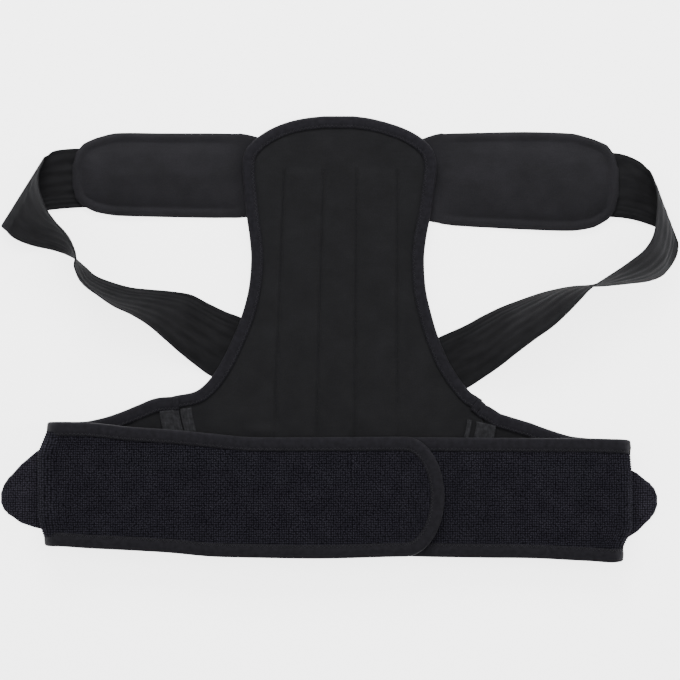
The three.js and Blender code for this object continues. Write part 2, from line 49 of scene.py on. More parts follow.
PANEL_WALL = 0.003
PANEL_HALF_WIDTH = 0.085
PANEL_HEIGHT = 0.392
PANEL_GRID = (150, 205)
LINE_DEPTH = 0.0015
LINE_WIDTH = 0.0011
CHANNEL_PUFF = 0.0011
PANEL_SWELL = 0.001
POCKET_END = {"x": -0.0724, "y": -0.0825, "wide": 0.013, "high": 0.0028, "rise": 0.0016}
EDGE_TUCK = 0.011
EDGE_PRESS = 0.0004
LEFT_SEAM = 1.78
RIGHT_SEAM = 1.515
TAB_TIP_REACH = 0.304
BELT_MIDDLE = 0.0495

panel_low, panel_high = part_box("back_panel")
panel_base = panel_low.y
tab_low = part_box("left_pull_tab")[0]
middle_x = tab_low.x + TAB_TIP_REACH
belt_y = panel_base + BELT_MIDDLE

panel_columns = ("up", "left", "right", "crossing")
panel_rows = (
    (0.000, LEFT_SEAM, RIGHT_SEAM, 1),
    (0.100, LEFT_SEAM, RIGHT_SEAM, 1),
    (0.220, LEFT_SEAM, RIGHT_SEAM, 1),
    (0.300, LEFT_SEAM, RIGHT_SEAM, 1),
    (0.338, LEFT_SEAM, RIGHT_SEAM, 1),
    (0.352, LEFT_SEAM, 1.45, 1),
    (0.362, 1.56, 1.377, 1),
    (0.375, 1.451, 1.32, 1),
    (0.402, 1.335, 1.225, 1),
    (0.441, 1.223, 1.12, 1),
    (0.489, 1.117, 1.027, 0.85),
    (0.538, 1.028, 0.957, 0.6),
    (0.602, 0.95, 0.89, 0.3),
    (0.669, 0.922, 0.871, 0.1),
    (0.720, 0.937, 0.893, 0),
    (0.772, 0.97, 0.938, 0),
    (0.832, 0.997, 0.98, 0),
    (0.882, 1.014, 1.005, 0),
    (0.916, 0.992, 0.975, 0),
    (0.937, 0.92, 0.905, 0),
    (0.955, 0.82, 0.795, 0),
    (0.970, 0.7, 0.655, 0),
    (0.983, 0.545, 0.475, 0),
    (0.992, 0.36, 0.3, 0),
    (0.9965, 0.17, 0.14, 0),
)
panel_floors = {"pads": 0.0032, "crossing": 0.0045}

# Each stitched line of the stay pockets leans a little: its place across at its foot and its head.
stay_lines = (
    (-0.0603, -0.0500),
    (-0.0221, -0.0149),
    (0.0130, 0.0151),
    (0.0513, 0.0513),
)
LINE_FOOT = 0.19
LINE_HEAD = 0.885


def blend(a, b, c, d, t):
    """The smooth value between b and c, with a and d as their neighbours."""
    bend = (2 * a - 5 * b + 4 * c - d) * t * t
    turn = (3 * b - a - 3 * c + d) * t * t * t
    return b + 0.5 * ((c - a) * t + bend + turn)


def row_at(columns, rows, place):
    """The table's row at a place from 0 to 1 down its length, smooth in between."""
    step = min(max(place, 0), 1) * (len(rows) - 1)
    i = min(int(step), len(rows) - 2)
    near = [rows[min(max(j, 0), len(rows) - 1)] for j in (i - 1, i, i + 1, i + 2)]
    return {name: blend(*(row[k] for row in near), step - i) for k, name in enumerate(columns)}


def ease(low, high, value):
    """0 below low, 1 above high and smooth between them."""
    t = min(max((value - low) / (high - low), 0), 1)
    return t * t * (3 - 2 * t)


def lay_cloth(name, grid, place, up, wall=0.0, offset=-1.0, tuft=0.0, keep=None):
    """A grid of cloth laid by place(u, v), which gives a point and its place on the flat cloth."""
    bm = bmesh.new()
    flat = bm.loops.layers.uv.new("UVMap")
    bmesh.ops.create_grid(bm, x_segments=grid[0], y_segments=grid[1], size=0.5)
    cut = {}
    for vert in bm.verts:
        vert.co, cut[vert] = place(vert.co.x + 0.5, vert.co.y + 0.5)
    bm.normal_update()
    if bm.faces[:][0].normal.dot(up) < 0:
        bmesh.ops.reverse_faces(bm, faces=bm.faces)
        bm.normal_update()
    if keep is not None:
        spare = [face for face in bm.faces if not keep(face.calc_center_median())]
        bmesh.ops.delete(bm, geom=spare, context="FACES")
    if tuft:
        poked = bmesh.ops.poke(bm, faces=bm.faces, offset=tuft, use_relative_offset=False)
        for vert in poked["verts"]:
            round_it = [cut[edge.other_vert(vert)] for edge in vert.link_edges]
            cut[vert] = [sum(side) / len(round_it) for side in zip(*round_it)]
    for face in bm.faces:
        for loop in face.loops:
            loop[flat].uv = cut[loop.vert]
    mesh = bpy.data.meshes.new(name)
    bm.to_mesh(mesh)
    bm.free()
    for face in mesh.polygons:
        face.use_smooth = True
    piece = bpy.data.objects.new(name, mesh)
    bpy.context.scene.collection.objects.link(piece)
    if wall:
        thick = piece.modifiers.new("Wall", "SOLIDIFY")
        thick.thickness = wall
        thick.offset = offset
        thick.use_even_offset = False
    return piece


def make_cloth(name, roughness, sheen, specular):
    """A plain matt cloth: its material, its node tree and its shader."""
    material = bpy.data.materials.new(name)
    material.use_nodes = True
    tree = material.node_tree
    shader = tree.nodes["Principled BSDF"]
    shader.inputs["Roughness"].default_value = roughness
    shader.inputs["Sheen Weight"].default_value = sheen
    shader.inputs["Sheen Roughness"].default_value = 0.45
    shader.inputs["Specular IOR Level"].default_value = specular
    return material, tree, shader


def texture(tree, kind, source, scale, **settings):
    """A texture node whose cells or waves follow a place scaled by the given amounts."""
    mapping = tree.nodes.new("ShaderNodeMapping")
    mapping.inputs["Scale"].default_value = scale
    tree.links.new(source, mapping.inputs["Vector"])
    node = tree.nodes.new(f"ShaderNodeTex{kind}")
    node.inputs["Scale"].default_value = 1
    for name, value in settings.items():
        if name in node.inputs:
            node.inputs[name].default_value = value
        else:
            setattr(node, name, value)
    tree.links.new(mapping.outputs["Vector"], node.inputs["Vector"])
    return node


def ramp(tree, source, *stops):
    """A colour ramp with the given (position, colour) stops."""
    node = tree.nodes.new("ShaderNodeValToRGB")
    band = node.color_ramp
    while len(band.elements) < len(stops):
        band.elements.new(0.5)
    for element, (position, colour) in zip(band.elements, stops):
        element.position = position
        element.color = (*colour, 1)
    tree.links.new(source, node.inputs["Fac"])
    return node.outputs["Color"]


def multiplied(tree, first, second, share):
    """The first colour multiplied by the second, as far as the share says."""
    node = tree.nodes.new("ShaderNodeMix")
    node.data_type = "RGBA"
    node.blend_type = "MULTIPLY"
    node.inputs["Factor"].default_value = share
    tree.links.new(first, node.inputs["A"])
    tree.links.new(second, node.inputs["B"])
    return node.outputs["Result"]


def raised(tree, shader, height, depth, before=None):
    """Relief from a height pattern, over the relief that is there before it."""
    bump = tree.nodes.new("ShaderNodeBump")
    bump.inputs["Distance"].default_value = depth
    tree.links.new(height, bump.inputs["Height"])
    if before is not None:
        tree.links.new(before, bump.inputs["Normal"])
    tree.links.new(bump.outputs["Normal"], shader.inputs["Normal"])
    return bump.outputs["Normal"]


def knit_cloth(name, dark, light):
    """A fine jersey knit: rows of small loops with slightly uneven dye."""
    material, tree, shader = make_cloth(name, 0.82, 0.08, 0.18)
    flat = tree.nodes.new("ShaderNodeTexCoord").outputs["UV"]
    loops = texture(tree, "Voronoi", flat, (1500, 1150, 1), Randomness=0.35, voronoi_dimensions="2D")
    rows = texture(tree, "Wave", flat, (0, 430, 0), Distortion=0.6, bands_direction="Y")
    dye = texture(tree, "Noise", flat, (38, 38, 38), Detail=4.0, Roughness=0.6)
    lint = texture(tree, "Noise", flat, (900, 900, 900), Detail=2.0)
    cloth = ramp(tree, dye.outputs["Fac"], (0.3, dark), (0.7, light))
    fuzz = ramp(tree, lint.outputs["Fac"], (0.35, (0.75,) * 3), (0.75, (1.35,) * 3))
    tree.links.new(multiplied(tree, cloth, fuzz, 0.6), shader.inputs["Base Color"])
    fine = raised(tree, shader, loops.outputs["Distance"], 0.00022)
    raised(tree, shader, rows.outputs["Fac"], 0.00006, fine)
    return material


def panel_row(v):
    """The panel's two edges and its floor at a share of the way from its foot to its head."""
    row = row_at(panel_columns, panel_rows, v)
    lift = panel_floors["crossing"] - panel_floors["pads"]
    return {
        "y": panel_base + row["up"] * PANEL_HEIGHT,
        "left": middle_x - min(row["left"], LEFT_SEAM) * PANEL_HALF_WIDTH,
        "right": middle_x + min(row["right"], RIGHT_SEAM) * PANEL_HALF_WIDTH,
        "floor": panel_floors["pads"] + lift * row["crossing"],
        "up": row["up"],
    }


def panel_edge_line(side, count=400):
    """Points up the middle of the panel's cut edge on one side."""
    rows = [panel_row(i / count) for i in range(count + 1)]
    return [Vector((row[side], row["y"], row["floor"] + PANEL_WALL / 2)) for row in rows]


def panel_relief(x, y, up, edge):
    """How far the panel's face stands above its flat wall."""
    run = ease(LINE_FOOT, LINE_FOOT + 0.04, up) * (1 - ease(LINE_HEAD - 0.02, LINE_HEAD, up))
    lean = (up - LINE_FOOT) / (LINE_HEAD - LINE_FOOT)
    places = [middle_x + foot + (head - foot) * lean for foot, head in stay_lines]
    groove = sum(math.exp(-(((x - place) / LINE_WIDTH) ** 2)) for place in places)
    puff = 0.0
    for left, right in zip(places[::2], places[1::2]):
        share = (x - left) / (right - left)
        if 0 < share < 1:
            puff = math.sin(math.pi * share) ** 0.6
    swell = noise.noise(Vector((x * 14, y * 11, 3.1))) + 0.4 * noise.noise(Vector((x * 40, y * 30, 7)))
    across = (x - POCKET_END["x"]) / POCKET_END["wide"]
    along = (y - POCKET_END["y"]) / POCKET_END["high"]
    lump = POCKET_END["rise"] * math.exp(-(across**4) - along**2)
    tuck = 1 - math.exp(-((edge / EDGE_TUCK) ** 2))
    pocket = run * (CHANNEL_PUFF * puff - LINE_DEPTH * groove)
    return tuck * (pocket + PANEL_SWELL * swell + lump) - EDGE_PRESS * (1 - tuck)


def lay_panel(u, v):
    """A place on the panel's inner face."""
    row = panel_row(v)
    x = row["left"] + (row["right"] - row["left"]) * u
    edge = min(x - row["left"], row["right"] - x, panel_high.y - row["y"])
    face = row["floor"] + PANEL_WALL + panel_relief(x, row["y"], row["up"], max(edge, 0))
    return Vector((x, row["y"], face)), (x, row["y"])


flat_up = Vector((0, 0, 1))
back_panel = lay_cloth("neoprene_back_panel", PANEL_GRID, lay_panel, flat_up, PANEL_WALL)
panel_knit = knit_cloth("panel_knit", (0.0058, 0.0058, 0.0069), (0.0092, 0.0092, 0.0106))
back_panel.data.materials.append(panel_knit)
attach(back_panel, "root")
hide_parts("back_panel")

# The panel's binding: an elastic tape folded over the cut edge from seam to seam, and a short one
# along the foot. A zigzag of thread near the tape's inner edge holds both of its legs.

TAPE_WALL = 0.0008
PANEL_TAPE = 0.0092
TAPE_RIM = 0.0013
TAPE_STEP = 0.0009
STITCH_EDGE = 0.0017
STITCH_PITCH = 0.0036
STITCH_SWING = 0.0012
THREAD = 0.0005
TAPE_PUCKER = 0.00026
PUCKER_WIDTH = 0.0009
TAPE_GAP = 0.0003
PINCH_DEPTH = 0.00045
PINCH_WIDTH = 0.0019
TAPE_CROWN = 0.00035
TAPE_PATTERN = 2.4
ZIGZAG_REACH = 6.2
LOCKSTITCH_REACH = 4.2
THREAD_FLAT = 0.8
TAPE_INSET = 0.0006
TAPE_OVERRUN = (-0.0016, -0.0004, 0.0004)

# Where the panel's edge tape ends at its two seams, as shares of the panel's height.
tape_ends = {"left": 0.3527, "right": 0.345}


def even_line(points, step):
    """The same line with its points a step apart."""
    travelled = [0.0]
    for before, after in zip(points, points[1:]):
        travelled.append(travelled[-1] + (after - before).length)
    count = max(2, round(travelled[-1] / step))
    result = []
    i = 0
    for k in range(count + 1):
        goal = travelled[-1] * k / count
        while i < len(points) - 2 and travelled[i + 1] < goal:
            i += 1
        span = max(travelled[i + 1] - travelled[i], 1e-9)
        result.append(points[i].lerp(points[i + 1], (goal - travelled[i]) / span))
    return result


def edge_path(points, ups, step=TAPE_STEP):
    """Places along an edge: each has its point, the way out of the cloth and the way up."""
    line = even_line(points, step)
    tree = KDTree(len(points))
    for i, point in enumerate(points):
        tree.insert(point, i)
    tree.balance()
    path = []
    for i, point in enumerate(line):
        along = line[min(i + 1, len(line) - 1)] - line[max(i - 1, 0)]
        up = ups[tree.find(point)[1]]
        out = along.cross(up).normalized()
        path.append((point, out, out.cross(along).normalized()))
    return path


def tape_leg(share, wall, width):
    """The folded tape's section: how far out and up it is, from leg to leg round the rim."""
    high = wall / 2 + TAPE_GAP + TAPE_WALL / 2
    straight = 0.4
    if share < straight or share > 1 - straight:
        side = 1 if share < 0.5 else -1
        inward = share / straight if share < 0.5 else (1 - share) / straight
        out = -width * (1 - inward)
        pinch = PINCH_DEPTH * math.exp(-(((out + width - STITCH_EDGE) / PINCH_WIDTH) ** 2))
        crown = TAPE_CROWN * math.sin(math.pi * min(inward, 1)) ** 0.5
        return out, side * (high - pinch + crown * 0.7)
    turn = (share - straight) / (1 - 2 * straight) * math.pi
    return TAPE_RIM * math.sin(turn), high * math.cos(turn)


def fold_tape(name, path, wall, width, flip=1):
    """A tape folded over the edge that the path follows, drawn in by its zigzag stitches."""
    length = TAPE_STEP * len(path)

    def place(u, v):
        point, out, up = path[round(v * (len(path) - 1))]
        across, rise = tape_leg(u, wall, width)
        run = v * length
        side = math.tanh((across + width - STITCH_EDGE) / PUCKER_WIDTH)
        drawn = TAPE_PUCKER * side * math.sin(run * 2 * math.pi / STITCH_PITCH)
        drawn += TAPE_PUCKER * noise.noise(Vector((run * 160, u * 3, 5)))
        drawn *= 1 - ease(-0.55 * width, 0, across)
        place_on = point + out * (flip * across) + up * (rise + math.copysign(drawn, rise))
        return place_on, (u * TAPE_PATTERN * width, run)

    first = path[0]
    grid = (20, len(path) - 1)
    return lay_cloth(name, grid, place, first[2], TAPE_WALL, 0.0)


def add_zigzag(name, path, wall, width, flip=1):
    """Small lying stitches in a zigzag on both faces of a folded tape."""
    bm = bmesh.new()
    travelled = 0.0
    side = 1
    rise = wall / 2 + TAPE_GAP + TAPE_WALL
    last = path[0][0]
    for point, out, up in path:
        travelled += (point - last).length
        last = point
        if travelled < STITCH_PITCH / 2:
            continue
        travelled -= STITCH_PITCH / 2
        side = -side
        along = up.cross(out).normalized()
        lean = (along * STITCH_PITCH / 2 + out * (side * STITCH_SWING * 2)).normalized()
        inset = width - STITCH_EDGE
        for face in (1, -1):
            made = bmesh.ops.create_icosphere(bm, subdivisions=1, radius=THREAD / 2)
            centre = point + out * (-flip * inset) + up * (face * rise)
            for vert in made["verts"]:
                reach = vert.co.x * ZIGZAG_REACH
                level = vert.co.z * THREAD_FLAT
                vert.co = centre + lean * reach + lean.cross(up) * vert.co.y + up * level
    finish_stitches(name, bm)


def add_straight_stitches(name, points, up, pitch):
    """A row of single lockstitches lying along a line."""
    bm = bmesh.new()
    line = even_line(points, pitch)
    for before, after in zip(line, line[1:]):
        along = (after - before).normalized()
        side = along.cross(up)
        made = bmesh.ops.create_icosphere(bm, subdivisions=1, radius=THREAD / 2)
        for vert in made["verts"]:
            place = (before + after) / 2 + along * vert.co.x * LOCKSTITCH_REACH
            vert.co = place + side * vert.co.y + up * vert.co.z * THREAD_FLAT
    finish_stitches(name, bm)


def finish_stitches(name, bm):
    """The stitches' mesh made a piece of black thread."""
    mesh = bpy.data.meshes.new(name)
    bm.to_mesh(mesh)
    bm.free()
    for face in mesh.polygons:
        face.use_smooth = True
    piece = bpy.data.objects.new(name, mesh)
    bpy.context.scene.collection.objects.link(piece)
    piece.data.materials.append(thread_black)
    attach(piece, "root")


def tape_cloth(name, dark, light):
    """A soft elastic tape, woven in fine ribs across its length."""
    material, tree, shader = make_cloth(name, 0.78, 0.03, 0.1)
    flat = tree.nodes.new("ShaderNodeTexCoord").outputs["UV"]
    ribs = texture(tree, "Wave", flat, (0, 360, 0), Distortion=0.8, bands_direction="Y")
    yarns = texture(tree, "Voronoi", flat, (1900, 1500, 1), Randomness=0.4, voronoi_dimensions="2D")
    dye = texture(tree, "Noise", flat, (230, 230, 230), Detail=3.0)
    cloth = ramp(tree, dye.outputs["Fac"], (0.3, dark), (0.7, light))
    shade = ramp(tree, ribs.outputs["Fac"], (0.0, (0.7,) * 3), (0.6, (1.15,) * 3))
    tree.links.new(multiplied(tree, cloth, shade, 0.7), shader.inputs["Base Color"])
    fine = raised(tree, shader, yarns.outputs["Distance"], 0.00012)
    raised(tree, shader, ribs.outputs["Fac"], 0.00014, fine)
    return material


def thread_cloth(name):
    """Twisted sewing thread with a slight gloss, its own dark tone raised a little as a painted highlight.
    """
    material, tree, shader = make_cloth(name, 0.65, 0.03, 0.2)
    place = tree.nodes.new("ShaderNodeTexCoord").outputs["Object"]
    twist = texture(tree, "Wave", place, (800, 800, 800), Distortion=1.0)
    # Dark to light along the twist; the whole range sits lighter than the tapes as a painted highlight.
    cloth = ramp(tree, twist.outputs["Fac"], (0.0, (0.011, 0.0105, 0.013)), (1.0, (0.023, 0.0222, 0.027)))
    tree.links.new(cloth, shader.inputs["Base Color"])
    raised(tree, shader, twist.outputs["Fac"], 0.00005)
    return material


binding_tape = tape_cloth("binding_tape", (0.0091, 0.0087, 0.0111), (0.0146, 0.0138, 0.0175))
thread_black = thread_cloth("black_thread")


def bind_edge(name, points, ups, wall, width, node, bound, flip=1):
    """The folded tape and its stitches, on the edge of the cloth that it binds."""
    path = edge_path(points, ups)
    tape = fold_tape(name, path, wall, width, flip)
    tape.data.materials.append(binding_tape)
    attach(tape, "root")
    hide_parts(node)
    add_zigzag(f"{name}_stitches", path, wall, width, flip)


def panel_outline():
    """The bound edge from the left seam over the head to the right seam."""
    line = []
    for side, edge in (("left", panel_edge_line("left")), ("right", panel_edge_line("right")[::-1])):
        end = panel_base + tape_ends[side] * PANEL_HEIGHT
        line += [point + Vector((0, -TAPE_INSET, 0)) for point in edge if point.y > end]
    return [line[0] + Vector(TAPE_OVERRUN)] + line


def stay_line_points(foot, head, count=120):
    """Points on the panel's face down the middle of one stitched line."""
    points = []
    for i in range(count + 1):
        up = LINE_FOOT + (LINE_HEAD - LINE_FOOT) * i / count
        row = panel_row(next(k / 400 for k in range(401) if panel_row(k / 400)["up"] >= up))
        y = panel_base + up * PANEL_HEIGHT
        x = middle_x + foot + (head - foot) * i / count
        edge = min(x - row["left"], row["right"] - x)
        points.append(Vector((x, y, row["floor"] + PANEL_WALL + panel_relief(x, y, up, edge))))
    return points


outline = panel_outline()
ups = [flat_up] * len(outline)
for i, (foot, head) in enumerate(stay_lines):
    add_straight_stitches(f"stay_line_{i + 1}", stay_line_points(foot, head), flat_up, STITCH_PITCH)
bind_edge("panel_edge_tape", outline, ups, PANEL_WALL, PANEL_TAPE, "panel_binding", "back_panel", -1)
foot_level = panel_floors["crossing"] + PANEL_WALL / 2
foot = [Vector((x, panel_base, foot_level)) for x in (panel_low.x, panel_high.x)]
bind_edge("panel_foot_tape", foot, ups[:2], PANEL_WALL, PANEL_TAPE, "panel_bottom_binding", "back_panel")

# The belt: each half is a band of neoprene faced with brushed loop cloth. It leaves the panel at its
# seam, goes round the fold and lies across the front, the left one over the right.

BELT_WALL = 0.003
BELT_HEIGHT = 0.106
SEAM_LAP = 0.0066
SEAM_RISE = {"left": 0, "right": 0.0018}
BELT_TAPE = 0.0107
LEVELS = {"back": 0.006, "right": 0.021, "left": 0.0265}
FLAP_SAG = 0.0025
DRAWN_REACH = 0.014
EDGE_FREE = 0.012
CORNER_REACH = 0.022
PILE_SWELL = 0.00042
TUFT_PITCH = 0.0021
TUFT_HEIGHT = 0.0009
DENT = {"x": 0.009, "wide": 0.0012, "deep": 0.0011, "low": -0.128, "high": -0.103}
NOSE_ARC = 1.25
NOSE_TRIM = 0.97
LAP_LIFT = 0.001
LAP_RUN = 6
LAP_EASE = 0.7

belt_columns = ("run", "top", "bottom")
belt_halves = {
    "left": {
        "side": -1,
        "seam": 0.1513,
        "fold": 0.266,
        "flap": 0.346,
        "nose": 0.034,
        "level": LEVELS["left"],
        "bulge": 0.0046,
        "tucked": {"top": 0.0045, "bottom": 0.0022},
        "back": (
            (0, 0.83, -0.46),
            (0.147, 0.815, -0.45),
            (0.311, 0.752, -0.44),
            (0.459, 0.694, -0.43),
            (0.59, 0.652, -0.42),
            (0.754, 0.62, -0.41),
            (1, 0.618, -0.4),
        ),
        "front": (
            (0, 0.618, -0.4),
            (0.099, 0.613, -0.418),
            (0.213, 0.578, -0.435),
            (0.327, 0.555, -0.455),
            (0.439, 0.524, -0.485),
            (0.553, 0.492, -0.495),
            (0.761, 0.491, -0.503),
            (1, 0.495, -0.486),
        ),
    },
    "right": {
        "side": 1,
        "seam": 0.1293,
        "fold": 0.261,
        "flap": 0.34,
        "nose": 0,
        "level": LEVELS["right"],
        "bulge": 0.0008,
        "tucked": {"top": 0.0013, "bottom": 0.0078},
        "back": (
            (0, 0.765, -0.46),
            (0.12, 0.686, -0.463),
            (0.34, 0.609, -0.469),
            (0.49, 0.545, -0.475),
            (0.64, 0.494, -0.48),
            (0.82, 0.472, -0.5),
            (1, 0.455, -0.525),
        ),
        "front": (
            (0, 0.474, -0.54),
            (0.085, 0.48, -0.527),
            (0.227, 0.482, -0.505),
            (0.37, 0.485, -0.499),
            (0.56, 0.487, -0.486),
            (0.63, 0.46, -0.46),
            (1, 0.43, -0.43),
        ),
    },
}
sag_columns = ("run", "sag")
sag_rows = ((0, 0), (0.12, 0.7), (0.28, 1), (0.4, 0.6), (0.49, 0), (0.7, 0), (1, 0))


def value_at(columns, rows, place):
    """The table's row at a place along its first column."""
    i = 0
    while i < len(rows) - 2 and rows[i + 1][0] < place:
        i += 1
    share = min(max((place - rows[i][0]) / (rows[i + 1][0] - rows[i][0]), 0), 1)
    return row_at(columns, rows, (i + share) / (len(rows) - 1))


def belt_stations(half, rounded, count=560):
    """Places along a belt half: point, way up from its inner face, length so far and both edges."""
    side, level = half["side"], half["level"]
    radius = (level - LEVELS["back"]) / 2
    centre = half["fold"] - BELT_WALL / 2 - radius
    back, fold, front = centre - half["seam"], math.pi * radius, half["flap"] - half["nose"]
    nose = half["nose"] * (NOSE_ARC if rounded else 1)
    total = back + fold + front + nose
    stations = []
    for i in range(count + 1):
        at = total * i / count
        pinch = 1.0
        if at < back:
            x, z, up = half["seam"] + at, LEVELS["back"], (0, 1)
            row = value_at(belt_columns, half["back"], at / back)
        elif at < back + fold:
            turn = (at - back) / radius
            x, z = centre + radius * math.sin(turn), LEVELS["back"] + radius * (1 - math.cos(turn))
            up = (-math.sin(turn), math.cos(turn))
            ends = [dict(zip(belt_columns, rows)) for rows in (half["back"][-1], half["front"][0])]
            share = (at - back) / fold
            row = {name: ends[0][name] + (ends[1][name] - ends[0][name]) * share for name in belt_columns}
        else:
            run = min((at - back - fold) / front, 1)
            x, z, up = centre - run * front, level, (0, -1)
            z -= FLAP_SAG * value_at(sag_columns, sag_rows, run)["sag"]
            row = value_at(belt_columns, half["front"], run)
            over = at - back - fold - front if nose else 0
            if over > 0 and rounded:
                x -= half["nose"] * math.sin(over / nose * math.pi / 2)
                pinch = max(math.cos(over / nose * math.pi / 2), 0.0)
            elif over > 0:
                x -= over
        centre_y = (row["top"] + row["bottom"]) / 2
        half_high = (row["top"] - row["bottom"]) / 2 * pinch
        from_fold = max(back - at, at - back - fold, 0)
        stations.append({
            "point": Vector((middle_x + side * x, 0, z)),
            "up": Vector((side * up[0], 0, up[1])),
            "at": at,
            "bend": max(0, math.sin((at - back) / radius)) if back < at < back + fold else 0,
            "drawn": math.exp(-((from_fold / DRAWN_REACH) ** 2)),
            "top": belt_y + (centre_y + half_high) * BELT_HEIGHT,
            "bottom": belt_y + (centre_y - half_high) * BELT_HEIGHT,
        })
    return stations


def lay_belt(half, stations):
    """Places on a belt half's inner face, which swells and bulges away from its bound edges."""

    def place(u, v):
        station = stations[round(u * (len(stations) - 1))]
        y = station["bottom"] + (station["top"] - station["bottom"]) * v
        edge = min(v, 1 - v) * (station["top"] - station["bottom"])
        free = 1 - math.exp(-((edge / EDGE_FREE) ** 2))
        swell = noise.noise(Vector((station["at"] * 22, y * 26, 1.7)))
        swell += 0.5 * noise.noise(Vector((station["at"] * 70, y * 60, 8)))
        rise = -free * (half["bulge"] * station["bend"] + PILE_SWELL * swell)
        point = station["point"] + station["up"] * rise
        tucked = half["tucked"]["top" if v > 0.5 else "bottom"]
        drawn_in = math.exp(-((edge / CORNER_REACH) ** 4)) * tucked
        point.x -= half["side"] * drawn_in * station["drawn"]
        if half["nose"] and station["up"].z < 0 and DENT["low"] < y < DENT["high"]:
            point.z -= DENT["deep"] * math.exp(-(((point.x - DENT["x"]) / DENT["wide"]) ** 2))
        return Vector((point.x, y, point.z)), (station["at"], y)

    return place


def nose_outline(half, stations):
    """Says whether a place on the flap lies inside its rounded end."""
    last = stations[-1]
    tip_x, tip_y = last["point"].x, (last["top"] + last["bottom"]) / 2
    high = (last["top"] - last["bottom"]) / 2

    def inside(place):
        over = 1 - (tip_x - place.x) / half["nose"]
        return over < 0 or over**2 + ((place.y - tip_y) / high) ** 2 < NOSE_TRIM

    return inside


def belt_edges(name, half):
    """The tape's course along the top edge, round the end and back, lapped over both seams."""
    stations = belt_stations(half, True)
    points = []
    turns = []
    for key, rows in (("top", stations), ("bottom", stations[::-1])):
        tuck = Vector((-half["side"] * half["tucked"][key], 0, 0))
        for station in rows:
            edge = Vector((station["point"].x, station[key], station["point"].z))
            points.append(edge + tuck * station["drawn"])
            turns.append(station["up"])
    first = (points[0] - points[LAP_RUN]).normalized()
    last = (points[-1] - points[-1 - LAP_RUN]).normalized()
    over_seam = Vector((0, 0, LAP_LIFT))
    rise = Vector((0, SEAM_RISE[name], 0))
    points[0] += rise * LAP_EASE
    points = [points[0] + first * SEAM_LAP + over_seam + rise] + points
    points.append(points[-1] + last * SEAM_LAP + over_seam)
    return points, turns[:1] + turns + turns[-1:]


def pile_cloth(name, dark, light):
    """Brushed loop cloth: tufts on a dark ground, a painted highlight on each, painted shade between them.
    """
    material, tree, shader = make_cloth(name, 0.95, 0, 0.02)
    flat = tree.nodes.new("ShaderNodeTexCoord").outputs["UV"]
    pitch = (1 / TUFT_PITCH, 1 / TUFT_PITCH, 1)
    tufts = texture(tree, "Voronoi", flat, pitch, Randomness=0.3, voronoi_dimensions="2D")
    loops = texture(tree, "Noise", flat, (1700, 1700, 1700), Detail=3.0, Roughness=0.7)
    dye = texture(tree, "Noise", flat, (70, 70, 70), Detail=3.0)
    ground = ramp(tree, dye.outputs["Fac"], (0.3, dark), (0.7, light))
    # Painted highlight at the middle of each tuft and painted shade in the gaps between tufts.
    tuft_highlight_and_shade = ramp(tree, tufts.outputs["Distance"], (0.1, (2.3,) * 3), (0.34, (1.25,) * 3), (0.6, (0.4,) * 3))
    fuzz = ramp(tree, loops.outputs["Fac"], (0.35, (0.3,) * 3), (0.65, (2.0,) * 3))
    cloth = multiplied(tree, multiplied(tree, ground, tuft_highlight_and_shade, 1.0), fuzz, 0.8)
    tree.links.new(cloth, shader.inputs["Base Color"])
    soft = raised(tree, shader, loops.outputs["Fac"], 0.0004)
    inverse = ramp(tree, tufts.outputs["Distance"], (0.0, (1,) * 3), (0.8, (0,) * 3))
    raised(tree, shader, inverse, 0.0006, soft)
    return material


loop_pile = pile_cloth("brushed_loop_cloth", (0.0091, 0.0087, 0.0117), (0.0125, 0.012, 0.0158))
for name, half in belt_halves.items():
    stations = belt_stations(half, False)
    grid = (round(stations[-1]["at"] / TUFT_PITCH), round(BELT_HEIGHT / TUFT_PITCH))
    keep = nose_outline(half, stations) if half["nose"] else None
    band = lay_belt(half, stations)
    belt_half = lay_cloth(f"{name}_belt_band", grid, band, -flat_up, BELT_WALL, 0.0, TUFT_HEIGHT, keep)
    belt_half.data.materials.append(loop_pile)
    belt_half.data.materials.append(panel_knit)
    wall = belt_half.modifiers["Wall"]
    wall.material_offset = 1
    wall.material_offset_rim = 1
    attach(belt_half, "root")
    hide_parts(f"{name}_belt_flap")
    points, turns = belt_edges(name, half)
    nodes = (f"{name}_belt_binding", f"{name}_belt_flap")
    bind_edge(f"{name}_belt_tape", points, turns, BELT_WALL, BELT_TAPE, *nodes, -half["side"])

# The seam tapes: short strips of ribbed webbing sewn over and beside the two seams between the
# panel and the belt halves.

SEAM_TAPE_WALL = 0.0008
SEAM_SPREAD = 0.03
SEAM_TAPE_LEAN = 0.0052
SEAM_TAPE_SHIFT = 0.0028
WEB_RIB = 0.0028

seam_webbing = tape_cloth("seam_webbing", (0.0126, 0.0126, 0.0142), (0.0308, 0.0308, 0.034))

# How far the strips go up past the source's square ends, at their outer and their inner side, to
# meet the slanting tape.
seam_heads = {"left": (0.005, 0.0085), "right": (0.0037, 0.0105)}


def lay_strip(side, node):
    """A strip down the seam that leans outward at its head, with its ribs lengthwise."""
    low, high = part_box(node)
    outward = math.copysign(1, low.x + high.x)
    seam_low, seam_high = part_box(f"{side}_seam_tape")
    outside = seam_high.x if outward > 0 else seam_low.x
    outer, inner = seam_heads[side]

    def place(u, v):
        across = (high.x - low.x) * u
        inward = abs(low.x + across - outside) / SEAM_SPREAD
        head = high.y + outer + (inner - outer) * inward
        y = low.y + (head - low.y) * v
        lean = SEAM_TAPE_LEAN * ease(head - 0.03, head, y) - SEAM_TAPE_SHIFT
        x = low.x + across + outward * lean
        rib = 0.0002 * math.cos(across * 2 * math.pi / WEB_RIB)
        rib += 0.0003 * noise.noise(Vector((x * 90, y * 50, 4)))
        return Vector((x, y, high.z + rib)), (across, y)

    strip = lay_cloth(f"{node}_strip", (24, 70), place, flat_up, SEAM_TAPE_WALL)
    strip.data.materials.append(seam_webbing)
    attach(strip, "root")
    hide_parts(node)
    return strip, (high.x - low.x, high.y + outer - low.y)


